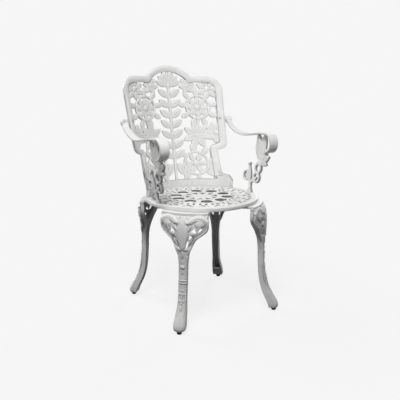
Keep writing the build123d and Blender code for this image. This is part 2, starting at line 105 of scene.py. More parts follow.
def ramp(tree, source, stops):
    """A colour ramp on one value; stops are (position, colour) pairs."""
    node = tree.nodes.new("ShaderNodeValToRGB")
    elements = node.color_ramp.elements
    for position, _ in stops[2:]:
        elements.new(position)
    for element, (position, colour) in zip(elements, stops):
        element.position = position
        element.color = (*colour, 1)
    tree.links.new(source, node.inputs["Fac"])
    return node.outputs["Color"]


def noise_on_object(tree, scale, detail=2.0):
    """Noise that is fixed to the piece, with its scale counted in waves per metre."""
    place = tree.nodes.new("ShaderNodeTexCoord")
    noise = add_node(tree, "ShaderNodeTexNoise", Scale=scale, Detail=detail)
    tree.links.new(place.outputs["Object"], noise.inputs["Vector"])
    return noise.outputs["Fac"]


def bump_chain(tree, shader, layers):
    """Bumps one on another; each layer is a height, its depth in metres and its strength."""
    last = None
    for height, depth, strength in layers:
        bump = add_node(tree, "ShaderNodeBump", Strength=strength, Distance=depth)
        tree.links.new(height, bump.inputs["Height"])
        if last:
            tree.links.new(last, bump.inputs["Normal"])
        last = bump.outputs["Normal"]
    tree.links.new(last, shader.inputs["Normal"])


# %% White powder coat
white_coat, tree, shader = new_material("white_powder_coat")
# The attribute that this ramp reads is painted shade: darker in openings, channels and creases, and a dark
# line on sharp edges. The mottle is the coat's own random tone.
painted_shade = tree.nodes.new("ShaderNodeAttribute")
painted_shade.attribute_name = "painted_shade"
painted_shade_tone = ramp(tree, painted_shade.outputs["Fac"], [
    (0.00, (0.36, 0.36, 0.355)), (0.16, (0.66, 0.66, 0.655)), (0.34, (0.84, 0.84, 0.835)),
    (0.50, (0.84, 0.84, 0.835)), (0.72, (0.50, 0.50, 0.495)), (1.00, (0.17, 0.17, 0.168)),
])
mottle = ramp(tree, noise_on_object(tree, 38, 4), [(0.3, (0.95, 0.95, 0.945)), (0.7, (1, 1, 1))])
paint = tree.nodes.new("ShaderNodeMix")
paint.data_type = "RGBA"
paint.blend_type = "MULTIPLY"
paint.inputs["Factor"].default_value = 1
tree.links.new(painted_shade_tone, paint.inputs["A"])
tree.links.new(mottle, paint.inputs["B"])
tree.links.new(paint.outputs["Result"], shader.inputs["Base Color"])
gloss = ramp(tree, noise_on_object(tree, 70, 3), [(0.3, (0.40,) * 3), (0.7, (0.52,) * 3)])
tree.links.new(gloss, shader.inputs["Roughness"])
bump_chain(tree, shader, [
    (noise_on_object(tree, 45, 2), 0.0016, 0.25),
    (noise_on_object(tree, 620, 2), 0.0003, 0.22),
])
print("white coat nodes:", len(tree.nodes))

# %% [markdown]
# ## Fastener steel and glide nylon
# The bolts are stainless steel, grey and a little brushed. The glide pads are black moulded
# nylon with a dry, scuffed face. Both are small in the picture, so one noise each is enough.

# %% Steel and nylon
steel, tree, shader = new_material("stainless_steel")
brushed = noise_on_object(tree, 900, 3)
tree.links.new(ramp(tree, brushed, [(0.3, (0.30, 0.30, 0.31)), (0.7, (0.44, 0.44, 0.45))]),
               shader.inputs["Base Color"])
tree.links.new(ramp(tree, brushed, [(0.3, (0.30,) * 3), (0.7, (0.46,) * 3)]), shader.inputs["Roughness"])
shader.inputs["Metallic"].default_value = 0.9
bump_chain(tree, shader, [(brushed, 0.0001, 0.3)])

nylon, tree, shader = new_material("black_nylon")
scuff = noise_on_object(tree, 260, 4)
tree.links.new(ramp(tree, scuff, [(0.35, (0.010, 0.010, 0.011)), (0.75, (0.045, 0.045, 0.046))]),
               shader.inputs["Base Color"])
tree.links.new(ramp(tree, scuff, [(0.3, (0.60,) * 3), (0.7, (0.80,) * 3)]), shader.inputs["Roughness"])
shader.inputs["Specular IOR Level"].default_value = 0.25
bump_chain(tree, shader, [(noise_on_object(tree, 1400, 2), 0.0002, 0.35)])
for corner_name in leg_turns:
    for part, material in (("pad", nylon), ("stud", steel)):
        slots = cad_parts[f"{corner_name}_glide_{part}"].data.materials
        slots.clear()
        slots.append(material)
print("glides dressed:", len(leg_turns))

# %% [markdown]
# ## Two small machines: a roll along a path, and a form at many points
# Cast ornament is made of few ideas repeated. A raised roll follows a line, and the same leaf
# sits at many points. Geometry Nodes suit both: one tree sweeps a round section along any curve,
# and one tree sets an object on points, turned and stretched by what each point carries.


# %% Tree helpers
def new_tree(name, inputs):
    """A Geometry Nodes tree with named inputs, and its input and output nodes."""
    nodes = bpy.data.node_groups.new(name, "GeometryNodeTree")
    nodes.interface.new_socket("Geometry", in_out="INPUT", socket_type="NodeSocketGeometry")
    for label, kind in inputs:
        nodes.interface.new_socket(label, in_out="INPUT", socket_type=f"NodeSocket{kind}")
    nodes.interface.new_socket("Geometry", in_out="OUTPUT", socket_type="NodeSocketGeometry")
    return nodes, nodes.nodes.new("NodeGroupInput"), nodes.nodes.new("NodeGroupOutput")


def close_tree(nodes, source, start, end):
    """Realize what was made and give it the coat, as every tree here ends."""
    realize = nodes.nodes.new("GeometryNodeRealizeInstances")
    coat = nodes.nodes.new("GeometryNodeSetMaterial")
    nodes.links.new(source, realize.inputs["Geometry"])
    nodes.links.new(realize.outputs["Geometry"], coat.inputs["Geometry"])
    nodes.links.new(start.outputs["Material"], coat.inputs["Material"])
    nodes.links.new(coat.outputs["Geometry"], end.inputs["Geometry"])


def link_object(name, data):
    """A new object in the scene, at the origin."""
    obj = bpy.data.objects.new(name, data)
    bpy.context.scene.collection.objects.link(obj)
    return obj


def settle(obj):
    """The evaluated shape of an object as a plain mesh; the object itself goes."""
    depsgraph = bpy.context.evaluated_depsgraph_get()
    mesh = bpy.data.meshes.new_from_object(obj.evaluated_get(depsgraph))
    bpy.data.objects.remove(obj)
    return mesh


def run_tree(obj, nodes, **values):
    """Run a tree on an object, with its inputs set by their identifiers."""
    modifier = obj.modifiers.new(nodes.name, "NODES")
    modifier.node_group = nodes
    for socket in nodes.interface.items_tree:
        key = socket.name.lower().replace(" ", "_")
        if socket.in_out == "INPUT" and key in values:
            modifier[socket.identifier] = values[key]
    return settle(obj)


# %% The roll: an oval section swept along a curve
roll_tree, start, end = new_tree("cast_roll", [
    ("Width", "Float"), ("Height", "Float"), ("Sides", "Int"), ("Material", "Material"),
])
section = roll_tree.nodes.new("GeometryNodeCurvePrimitiveCircle")
stretch = roll_tree.nodes.new("ShaderNodeCombineXYZ")
oval = add_node(roll_tree, "GeometryNodeTransform")
sweep = roll_tree.nodes.new("GeometryNodeCurveToMesh")
section.inputs["Radius"].default_value = 0.5
stretch.inputs["Z"].default_value = 1
sweep.inputs["Fill Caps"].default_value = True
for source, target in (
    (start.outputs["Sides"], section.inputs["Resolution"]),
    (start.outputs["Width"], stretch.inputs["X"]),
    (start.outputs["Height"], stretch.inputs["Y"]),
    (section.outputs["Curve"], oval.inputs["Geometry"]),
    (stretch.outputs["Vector"], oval.inputs["Scale"]),
    (start.outputs["Geometry"], sweep.inputs["Curve"]),
    (oval.outputs["Geometry"], sweep.inputs["Profile Curve"]),
):
    roll_tree.links.new(source, target)
close_tree(roll_tree, sweep.outputs["Mesh"], start, end)


def rolls(paths, width, height, sides=12):
    """Rolls along several paths; a path is (points, closed)."""
    curve = bpy.data.curves.new("roll_paths", "CURVE")
    curve.dimensions = "3D"
    for points, closed in paths:
        spline = curve.splines.new("POLY")
        spline.points.add(len(points) - 1)
        spline.points.foreach_set("co", np.c_[points, np.ones(len(points))].ravel())
        spline.use_cyclic_u = closed
    obj = link_object("roll_paths", curve)
    return run_tree(obj, roll_tree, width=width, height=height, sides=sides, material=white_coat)


# %% The spread: one object set on many points
spread_tree, start, end = new_tree("cast_spread", [("Form", "Object"), ("Material", "Material")])
form = spread_tree.nodes.new("GeometryNodeObjectInfo")
place = spread_tree.nodes.new("GeometryNodeInstanceOnPoints")
turn = spread_tree.nodes.new("GeometryNodeInputNamedAttribute")
turn.data_type = "FLOAT_VECTOR"
turn.inputs["Name"].default_value = "turn"
size = spread_tree.nodes.new("GeometryNodeInputNamedAttribute")
size.data_type = "FLOAT_VECTOR"
size.inputs["Name"].default_value = "size"
form.inputs["As Instance"].default_value = True
for source, target in (
    (start.outputs["Form"], form.inputs["Object"]),
    (start.outputs["Geometry"], place.inputs["Points"]),
    (form.outputs["Geometry"], place.inputs["Instance"]),
    (turn.outputs["Attribute"], place.inputs["Rotation"]),
    (size.outputs["Attribute"], place.inputs["Scale"]),
):
    spread_tree.links.new(source, target)
close_tree(spread_tree, place.outputs["Instances"], start, end)


def spread(form, points, turns, sizes, material=white_coat):
    """One form at each point, turned by Euler angles in radians and stretched by size."""
    mesh = bpy.data.meshes.new("spread_points")
    mesh.from_pydata([tuple(p) for p in points], [], [])
    for label, values in (("turn", turns), ("size", sizes)):
        attribute = mesh.attributes.new(label, "FLOAT_VECTOR", "POINT")
        attribute.data.foreach_set("vector", np.asarray(values, np.float32).ravel())
    return run_tree(link_object("spread_points", mesh), spread_tree, form=form, material=material)


print("trees:", [group.name for group in bpy.data.node_groups])

# %% [markdown]
# ## The carved forms
# A leaf on such a casting is a low dome with a sunken middle vein and a pointed tip.
# It is made once, one unit long and one unit wide, as a closed shell, and each point of the
# spread stretches it. A button is a low round dome, for the hearts of flowers and for beads.


# %% Leaf and button shells
def shell(rows):
    """A closed skin over rows of points that share their first and last ring."""
    rows = np.asarray(rows, float)
    grid = np.arange(rows.shape[0] * rows.shape[1]).reshape(rows.shape[:2])
    quads = np.stack([grid[:-1], np.roll(grid, -1, 1)[:-1], np.roll(grid, -1, 1)[1:], grid[1:]], -1)
    caps = [list(grid[0][::-1]), list(grid[-1])]
    mesh = bpy.data.meshes.new("form")
    mesh.from_pydata(rows.reshape(-1, 3).tolist(), [], quads.reshape(-1, 4).tolist() + caps)
    work = bmesh.new()
    work.from_mesh(mesh)
    bmesh.ops.remove_doubles(work, verts=work.verts, dist=1e-6)
    bmesh.ops.recalc_face_normals(work, faces=work.faces)
    work.to_mesh(mesh)
    work.free()
    return mesh


def leaf_rows(stations=11, half=8, vein=0.5):
    """Rings around a leaf of unit length and width; the ring's lower half is its flat root."""
    rows = []
    for t in np.linspace(0.004, 0.996, stations):
        half_width = 2 * t * (1 - t)
        side = np.linspace(-1, 1, 2 * half + 1)
        crown = (1 - np.abs(side) ** 3.5) * (0.35 + 0.65 * sin(pi * t) ** 0.6)
        crown = crown - vein * np.exp(-((side / 0.13) ** 2)) * sin(pi * t) ** 0.5
        top = np.c_[np.full_like(side, t), side * half_width, crown]
        root = np.c_[np.full_like(side, t), side * half_width * 0.8, np.full_like(side, -1.4)]
        rows.append(np.r_[top, root[::-1]])
    return rows


def button_rows(rings=5, sides=12):
    """Rings of a low dome of unit radius and height, from its root to its crown."""
    angles = np.linspace(0, 2 * pi, sides, endpoint=False)
    rows = [np.c_[0.9 * np.cos(angles), 0.9 * np.sin(angles), np.full(sides, -1.4)]]
    for lift in np.linspace(0, 0.46 * pi, rings):
        rows.append(np.c_[cos(lift) * np.cos(angles), cos(lift) * np.sin(angles),
                          np.full(sides, sin(lift))])
    return rows


leaf = link_object("leaf_form", shell(leaf_rows()))
button = link_object("button_form", shell(button_rows()))
print("leaf faces:", len(leaf.data.polygons), "button faces:", len(button.data.polygons))

# %% [markdown]
# ## Drawing flat, then laying the drawing on its casting
# The back is a leaning cone, the knees are bulged and the brackets lean outwards. Carving on
# those directly would be hard to follow, so every drawing is made flat: across, up, and how far
# it stands proud. A function for each casting then carries the flat points to where they belong.


# %% Places for leaves, as in the castings' own drawing
def sprig(base, angles, out=0):
    """Leaf places that fan out from one point: (across, up, angle in degrees)."""
    return [(base[0] + out * cos(radians(a)), base[1] + out * sin(radians(a)), a) for a in angles]


def mirrored(places):
    """The same places with their left-hand twins; one that lies on the middle line stays single."""
    twins = [(-x, y, 180 - a) for x, y, a in places if abs(x) > 0.01 or abs(a - 90) > 0.01]
    return list(places) + twins


def leaves(places, length, width, proud, at=0.0):
    """Leaves at flat places; at is the height of the face that they grow from."""
    points = [(x, y, at) for x, y, _ in places]
    turns = [(0, 0, radians(a)) for _, _, a in places]
    return spread(leaf, points, turns, [(length, width, proud)] * len(places))


def buttons(middles, radius, proud, at=0.0):
    """Domed buttons at flat places."""
    points = [(x, y, at) for x, y in middles]
    return spread(button, points, [(0, 0, 0)] * len(points), [(radius, radius, proud)] * len(points))


def pair(point):
    """A flat point and its left-hand twin; one on the middle line stays single."""
    x, y = point
    return [(x, y), (-x, y)] if x else [(x, y)]


def hoop(centre, radius, at=0.0, steps=40):
    """A closed circular path in the flat."""
    angles = np.linspace(0, 2 * pi, steps, endpoint=False)
    x = centre[0] + radius * np.cos(angles)
    return np.c_[x, centre[1] + radius * np.sin(angles), np.full(steps, at)], True


def line(points, at=0.0, steps=8):
    """An open path through flat points, rounded where it bends."""
    flat = np.array([(x, y, at) for x, y in points], float)
    if len(flat) == 2:
        return flat[0] + np.linspace(0, 1, steps)[:, None] * (flat[1] - flat[0]), False
    padded = np.r_[[2 * flat[0] - flat[1]], flat, [2 * flat[-1] - flat[-2]]]
    curve = []
    for a, b, c, d in zip(padded, padded[1:], padded[2:], padded[3:]):
        for t in np.linspace(0, 1, steps, endpoint=False):
            curve.append(0.5 * (2 * b + (c - a) * t + (2 * a - 5 * b + 4 * c - d) * t**2
                                + (3 * b - a - 3 * c + d) * t**3))
    return np.array(curve + [flat[-1]]), False


def twin(path):
    """The left-hand twin of a path."""
    points, closed = path
    return points * (-1, 1, 1), closed


def both(paths):
    """Paths with their left-hand twins."""
    return paths + [twin(path) for path in paths]


# %% Laying functions: flat millimetres to the casting, in metres
def wall_rear(x, height):
    """Points on the middle of the back's leaning cone, and the way out of its rear face."""
    radius = bolt_circle + (back_top_radius - bolt_circle) * height / back_height
    centre = bolt_circle + back_lean_run * height / back_height - radius
    across_it = np.sqrt(np.maximum(radius**2 - x**2, 1))
    radius_slope = (back_top_radius - bolt_circle) / back_height
    centre_slope = back_lean_run / back_height - radius_slope
    rear = np.c_[x, across_it, -across_it * centre_slope - radius * radius_slope]
    return (np.c_[x, seat_y + centre + across_it, seat_height + height],
            rear / np.linalg.norm(rear, axis=1)[:, None])


def on_wall(flat):
    """Across, height above the seat and proud of the wall's middle."""
    place, rear = wall_rear(flat[:, 0], flat[:, 1])
    return (place - rear * flat[:, 2:]) * MM


def on_seat(flat):
    """About the seat's middle, proud of the web's middle."""
    return (flat + (0, seat_y, seat_web_middle)) * MM


def lay(mesh, function):
    """Carry a flat mesh to its casting."""
    flat = np.zeros(len(mesh.vertices) * 3)
    mesh.vertices.foreach_get("co", flat)
    mesh.vertices.foreach_set("co", function(flat.reshape(-1, 3)).ravel())
    mesh.update()
    return mesh


print("the wall's foot is at", (on_wall(np.array([(0, 0, 0)])) / MM).round(1))

# %% [markdown]
# ## One skin: how a casting is fused
# Metal poured in a mould has no seams between leaf and web. Booleans could join the shells, but
# they stop on surfaces that nearly coincide. A voxel remesh always closes: it turns the shells
# into a field of distances and draws one skin around them. A light smoothing then
# gives the small radius that every cast edge has.


# %% Fusing and finishing helpers
def cad_copy(node):
    """A welded copy of a CAD node's mesh."""
    work = bmesh.new()
    work.from_mesh(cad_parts[node].data)
    bmesh.ops.remove_doubles(work, verts=work.verts, dist=1e-6)
    mesh = bpy.data.meshes.new(f"{node}_copy")
    work.to_mesh(mesh)
    work.free()
    return mesh


def join(meshes):
    """Several meshes in one, each still its own shell."""
    work = bmesh.new()
    for mesh in meshes:
        work.from_mesh(mesh)
    joined = bpy.data.meshes.new("joined")
    work.to_mesh(joined)
    work.free()
    return joined


def fuse(meshes, voxel, rounds):
    """Overlapping closed shells melted into one skin with soft edges; sizes in metres."""
    obj = link_object("mould", join(meshes))
    remesh = obj.modifiers.new("one_skin", "REMESH")
    remesh.mode = "VOXEL"
    remesh.voxel_size = voxel
    soften = obj.modifiers.new("soft_edges", "SMOOTH")
    soften.factor = 0.5
    soften.iterations = rounds
    return settle(obj)


def thin(mesh, most=190000):
    """Fewer triangles where a finished skin has too many; flat places give theirs up first."""
    mesh.calc_loop_triangles()
    share = most / len(mesh.loop_triangles)
    if share >= 1:
        return mesh
    obj = link_object("thinned", mesh)
    fewer = obj.modifiers.new("fewer", "DECIMATE")
    fewer.ratio = share
    return settle(obj)


def mark_painted_shade(mesh, shade_where, reach=8, depth=0.0008):
    """Store each point's painted shade: 0.5 on an open flat face, 1 painted darkest deep inside, 0 painted
    dark on a sharp edge.
    """
    count = len(mesh.vertices)
    places = np.zeros(count * 3)
    normals = np.zeros(count * 3)
    edges = np.zeros(len(mesh.edges) * 2, int)
    mesh.vertices.foreach_get("co", places)
    mesh.vertex_normals.foreach_get("vector", normals)
    mesh.edges.foreach_get("vertices", edges)
    places = places.reshape(-1, 3)
    normals = normals.reshape(-1, 3)
    ends = np.r_[edges.reshape(-1, 2), edges.reshape(-1, 2)[:, ::-1]]
    degree = np.bincount(ends[:, 0], minlength=count)[:, None]
    blurred = places
    for _ in range(reach):
        total = [np.bincount(ends[:, 0], blurred[ends[:, 1], axis], count) for axis in range(3)]
        blurred = 0.4 * blurred + 0.6 * np.array(total).T / degree
    sunken = ((blurred - places) * normals).sum(1) / depth
    opening_shade = shade_where(places / MM, normals)
    sunken = np.clip(sunken, -1, 1)
    painted_shade = 0.5 + 0.5 * np.where(opening_shade > 0, np.maximum(sunken, opening_shade), sunken)
    mesh.attributes.new("painted_shade", "FLOAT", "POINT").data.foreach_set("value", painted_shade.astype(np.float32))


def across(normals, faces, soft=0.75):
    """One where a surface stands square to the faces of its panel, zero where it lies along them."""
    return np.clip(1 - np.abs((normals * faces).sum(1)) / soft, 0, 1)


def dress(name, mesh, material, nodes, body="frame"):
    """A finished piece: named, shaded smooth, coated, riding its body in place of its CAD nodes."""
    mesh.name = name
    mesh.materials.clear()
    mesh.materials.append(material)
    mesh.polygons.foreach_set("use_smooth", np.ones(len(mesh.polygons), bool))
    mesh.polygons.foreach_set("material_index", np.zeros(len(mesh.polygons), np.int32))
    mesh.update()
    piece = link_object(name, mesh)
    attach(piece, body)
    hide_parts(*nodes)
    mesh.calc_loop_triangles()
    print(name, len(mesh.loop_triangles), "triangles")


# %% [markdown]
# ## The seat
# The seat is a round grille inside a plain rim: petals about the middle, a band of hoops and
# leaves, and a border of small hoops. The CAD copy holds the openings. The relief gives each
# bar its roundness, so that light runs along it instead of lying flat.

# %% Seat relief and casting
inner_hoop = 0.34 * seat_web_radius
outer_hoop = 0.69 * seat_web_radius
hoop_gap = outer_hoop - inner_hoop
border = seat_web_radius - outer_hoop
web_face = 3.5
petals = 10
border_leaves = 20


def around(radius, count, first=0.0):
    """Places on a circle that point outwards: (across, up, angle in degrees)."""
    return [(radius * cos(radians(a)), radius * sin(radians(a)), a)
            for a in first + np.arange(count) * 360 / count]


def centres(places):
    """The points alone."""
    return [(x, y) for x, y, _ in places]


large_hoops = centres(around(inner_hoop + hoop_gap / 2, petals))
small_hoops = centres(around(outer_hoop + 0.6 * border, border_leaves, 180 / border_leaves))
seat_relief = [
    rolls([hoop((0, 0), inner_hoop, web_face, 80), hoop((0, 0), outer_hoop, web_face, 120)], 8, 3.2),
    rolls([hoop(centre, hoop_gap / 2 - 7, web_face) for centre in large_hoops], 7, 3),
    rolls([hoop(centre, 0.22 * border, web_face, 20) for centre in small_hoops], 6, 2.6),
    leaves(around(4, petals), inner_hoop - 2, 0.30 * inner_hoop, 1.3, web_face),
    leaves(around(inner_hoop - 2, petals, 180 / petals), hoop_gap + 4, 18, 1.4, web_face),
    leaves(around(outer_hoop - 2, border_leaves), border + 6, 0.37 * border, 1.4, web_face),
    buttons([(0, 0)], 0.09 * seat_web_radius, 2.6, web_face),
]
seat_meshes = [cad_copy("seat_panel")] + [lay(mesh, on_seat) for mesh in seat_relief]
seat_skin = fuse(seat_meshes, 0.0013, 2)


def seat_painted_shade(places, normals):
    """Painted shade on the walls of the openings in the web."""
    inside = np.hypot(places[:, 0], places[:, 1] - seat_y) < seat_web_radius - 1
    return inside * across(normals, np.array((0, 0, 1)))


mark_painted_shade(seat_skin, seat_painted_shade)
dress("seat_casting", thin(seat_skin), white_coat, ["seat_panel"])

# %% [markdown]
# ## The back
# The back is a pierced panel inside a moulded rim, bent to a cone so that it hugs the sitter.
# Its field has a palmette under the crest, a rosette and a hooped scroll on each side, and
# leaves on stems between them. The rim is a broad band with a soft crown.

# %% Back relief: where things grow
hoop_radius = 45
back_face = 3.0
palmette = (0, shoulder_height - 36)
rosette = (0.53 * shoulder_half_width, 0.72 * shoulder_height)
volute = (0.52 * waist_half_width, base_band_height + 0.54 * (waist_height - base_band_height))
vine = ((volute[0] + rosette[0]) / 2, (volute[1] + rosette[1]) / 2)
corner_knot = (shoulder_half_width - 57, shoulder_height - 48)
notch_knot = (crest_half_width - 18, shoulder_height - 36)
hip_knot = (hip_half_width - 26, hip_height + 56)
reed = (0.23 * waist_half_width, base_band_height + 14)
rail_knot = (waist_half_width - 17, base_band_height + 10)
stem_leaf_first = volute[1] + hoop_radius / 2

long_leaves = sprig(palmette, (90, 66, 42, 18)) + sprig(vine, range(-5, 355, 51))
long_leaves += sprig(rail_knot, (78, 104)) + sprig(reed, (62, 118))
for step in range(7):
    long_leaves += sprig((0, stem_leaf_first + 40 * step), [34])
short_leaves = sprig(rosette, range(0, 360, 45), 9) + sprig(rosette, range(11, 371, 40), hoop_radius)
short_leaves += sprig(volute, range(0, 360, 60), 9) + sprig(volute, range(7, 367, 45), hoop_radius)
short_leaves += sprig(corner_knot, range(3, 363, 51), 9) + sprig(notch_knot, range(8, 368, 60))
short_leaves += sprig(hip_knot, range(65, 300, 39), 9)
knots = [palmette, vine, corner_knot, notch_knot, hip_knot]
hearts = [rosette, volute]
print("leaves on the back:", len(mirrored(long_leaves)) + len(mirrored(short_leaves)))


# %% Back outline, for the roll along its rim
# Radii of the corners at the waist, the hip, the shoulder and the crest's foot
corner_radii = (14, 32, 52, 14)


def corner(before, at, after, radius, steps=10):
    """Points of a rounded corner of an outline."""
    at = np.array(at, float)
    a = np.array(before, float) - at
    b = np.array(after, float) - at
    a /= np.linalg.norm(a)
    b /= np.linalg.norm(b)
    half = np.arccos(np.clip(a @ b, -1, 1)) / 2
    reach = radius / np.tan(half)
    middle = at + (a + b) / np.linalg.norm(a + b) * radius / np.sin(half)
    first = at + a * reach - middle
    last = at + b * reach - middle
    turn = np.arctan2(first[0] * last[1] - first[1] * last[0], first @ last)
    angles = np.linspace(0, turn, steps)
    return [middle + (first[0] * cos(t) - first[1] * sin(t), first[0] * sin(t) + first[1] * cos(t))
            for t in angles]


def back_outline(step_in):
    """The rim's line from its foot on the right, over the crest to the left, a step inside the edge."""
    crest_rise = back_height - shoulder_height
    crest_radius = (crest_half_width**2 + crest_rise**2) / (2 * crest_rise)
    sweep = np.arcsin(crest_half_width / crest_radius)
    crest = [(crest_radius * sin(t), back_height - crest_radius * (1 - cos(t)))
             for t in np.linspace(sweep * 0.9, 0, 14)]
    corners = [(waist_half_width, 6), (waist_half_width, waist_height), (hip_half_width, hip_height),
               (shoulder_half_width, shoulder_height), (crest_half_width, shoulder_height),
               (0, back_height + 40)]
    half = [np.array(corners[0], float)]
    for before, at, after, radius in zip(corners, corners[1:], corners[2:], corner_radii):
        half += corner(before, at, after, radius)
    half = np.array(half + [np.array(p) for p in crest])
    whole = np.r_[half, half[:-1][::-1] * (-1, 1)]
    slope = np.gradient(whole, axis=0)
    slope /= np.linalg.norm(slope, axis=1)[:, None]
    return whole + step_in * np.c_[-slope[:, 1], slope[:, 0]]


rim_crown = back_outline(10.5)
rim_edge = back_outline(0)
print("rim crown points:", len(rim_crown))

# %% Back relief and casting
rim_face = 5.6
rim_band = 12
back_stems = both([
    line([(reed[0], 0), (reed[0] * 1.1, volute[1])], back_face),
    line([(volute[0], volute[1] + hoop_radius), (rosette[0], rosette[1] - hoop_radius)], back_face),
]) + [line([(0, 0), palmette], back_face, 24)]
# Each post of the wing: its share of the way from rail to wing, its angle and its top above the seat
wing_posts = [(0.0, 36, 84), (0.2, 35, 68), (0.55, 34, 58), (0.9, 32.5, 53), (1.0, 30, 51), (1.0, 27, 50.5),
              (1.0, 25.2, 48), (1.0, 24.2, 43), (1.0, 23.6, 34)]


def wing_flare(side, half=6.5, deep=36, lowest=8):
    """A curved web that carries the rail's edge out into the wing below it."""
    rows = []
    for share, angle, top in wing_posts:
        out = np.array((cos(radians(angle)), sin(radians(angle)), 0))
        bottom = max(top - deep, lowest)
        corners = []
        for height, way in ((top, 1), (top, -1), (bottom, -1), (bottom, 1)):
            rail = wall_rear(np.array([bolt_circle * out[0]]), np.array([height]))[0][0]
            wing = bolt_circle * out + (0, seat_y, seat_height + height)
            corners.append(rail + share * (wing - rail) + way * half * out)
        rows.append(corners)
    return shell(np.array(rows) * (side, 1, 1) * MM)


def field_relief():
    """Everything carved on one face of the pierced field, still flat."""
    return [
        rolls(back_stems, 9, 4.4),
        rolls(both([hoop(heart, hoop_radius, back_face) for heart in hearts]), 9, 4.6),
        leaves(mirrored(long_leaves), 57, 26, 1.9, back_face),
        leaves(mirrored(short_leaves), 34, 21, 1.7, back_face),
        buttons([point for heart in hearts for point in pair(heart)], 12, 3.8, back_face),
        buttons([point for knot in knots for point in pair(knot)], 10, 3.0, back_face),
    ]


rim_roll = rolls([(np.c_[rim_crown, np.full(len(rim_crown), rim_face)], False)], 21, 6.4)
back_meshes = [cad_copy("back_panel"), lay(rim_roll, on_wall), wing_flare(1), wing_flare(-1)]
for face in (1, -1):
    back_meshes += [lay(mesh, lambda flat: on_wall(flat * (1, 1, face))) for mesh in field_relief()]
back_skin = fuse(back_meshes, 0.0013, 2)


def back_painted_shade(places, normals):
    """Painted shade on the walls of the openings, which lie inside the rim and above the base band."""
    flat = np.c_[places[:, 0], places[:, 2] - seat_height]
    edge_tree = KDTree(len(rim_edge))
    for index, (x, height) in enumerate(rim_edge):
        edge_tree.insert((x, height, 0), index)
    edge_tree.balance()
    gaps = np.array([edge_tree.find((x, height, 0))[2] for x, height in flat])
    inside = (gaps > rim_band) & (flat[:, 1] > base_band_height - 2)
    return inside * across(normals, wall_rear(flat[:, 0], flat[:, 1])[1])


mark_painted_shade(back_skin, back_painted_shade)
dress("back_casting", thin(back_skin), white_coat, ["back_panel"])

# %% [markdown]
# ## The arms
# Each arm is one casting: a strap that curls down at the front, and a pierced bracket that
# leans out from the seat to meet it. The bracket shows both its faces, so its leaves and hoops
# are laid on both. The left arm is the right one in a mirror, turned the right way out again.

# %% Bracket drawing and arm casting
bracket_angle = 11.2
bracket_set_in = bolt_circle * sin(radians(bracket_angle))
bracket_foot = np.array((bolt_circle * cos(radians(bracket_angle)), seat_y - bracket_set_in, seat_height))
bracket_lean = np.array((29.845, 0.0, 222.474))
bracket_rise = np.linalg.norm(bracket_lean)
bracket_face = 4.0
bracket_up = bracket_lean / bracket_rise
bracket_out = np.array((bracket_up[2], 0, -bracket_up[0]))


def on_bracket(flat):
    """Along the seat, up the leaning bracket and proud of its middle."""
    x, y, proud = flat.T
    place = bracket_foot + np.outer(x, (0, 1, 0)) + np.outer(y, bracket_up) + np.outer(proud, bracket_out)
    return place * MM


fork = (4, 0.17 * bracket_rise)
fan = (-40, 0.53 * bracket_rise)
rear_hoop = (34, 0.28 * bracket_rise)
front_hoops = [(-30, 0.27 * bracket_rise), (-34, 0.43 * bracket_rise)]
arm_thickness = 7
scroll_reach = 111
scroll_height = 614
scroll_radius = 33.5
scroll_tip = (bracket_set_in - scroll_reach, scroll_height - scroll_radius - seat_height)
scroll_axis = (seat_y - scroll_reach, scroll_height)
# Slope, length and width of each leaf of the fan
fan_leaves = [(75, 112, 42), (97, 110, 40), (124, 62, 36), (152, 60, 28), (184, 46, 20)]


def bracket_relief():
    """Everything carved on one face of the bracket, still flat."""
    fan_carving = [leaves(sprig(fan, [slope]), length, width, 2.2, bracket_face)
                   for slope, length, width in fan_leaves]
    return fan_carving + [
        rolls([line([(0, 6), fork], bracket_face), line([fan, scroll_tip], bracket_face)], 11, 4),
        rolls([hoop(centre, 17, bracket_face, 28) for centre in [rear_hoop, *front_hoops]], 8, 5),
        leaves(sprig(fork, (40, 146)), 46, 16, 2.0, bracket_face),
        leaves(sprig(fork, [75]), 72, 16, 2.0, bracket_face),
        buttons(centres(sprig(fork, [75], 72)), 7, 3.4, bracket_face),
        buttons([fan], 13, 3.6, bracket_face),
        buttons([fork], 7, 3.0, bracket_face),
    ]


arm_meshes = [cad_copy("right_arm")]
for side in (1, -1):
    arm_meshes += [lay(mesh, lambda flat: on_bracket(flat * (1, 1, side))) for mesh in bracket_relief()]
right_skin = fuse(arm_meshes, 0.0012, 3)


def arm_painted_shade(places, normals):
    """Painted shade on the walls of the bracket's openings, below the strap and clear of its scroll."""
    from_scroll = np.hypot(places[:, 1] - scroll_axis[0], places[:, 2] - scroll_axis[1])
    on_scroll = abs(from_scroll - scroll_radius) < arm_thickness
    on_strap = places[:, 2] > seat_height + 0.93 * bracket_lean[2]
    return 0.7 * ~(on_scroll | on_strap) * across(normals, bracket_out)


mark_painted_shade(right_skin, arm_painted_shade)
right_skin = thin(right_skin)
left_skin = right_skin.copy()
left_skin.transform(Matrix.Scale(-1, 4, (1, 0, 0)))
left_skin.flip_normals()
dress("right_arm_casting", right_skin, white_coat, ["right_arm"])
dress("left_arm_casting", left_skin, white_coat, ["left_arm"])

# %% [markdown]
# ## The legs
# A cabriole leg swells at the knee, thins at the shin and turns out in a pad foot. Its front
# is carved: two brows curl over the knee with a bud under each, leaves hang beside a plain
# tongue, and a boss and a double band sit lower down. One leg is carved in the place of a leg
# that faces the front, then turned to the four corners.

# %% Leg front, from the same sections as the casting
leg_flange = 7
leg_foot = 12
leg_top = seat_height - seat_rim_thickness - leg_flange
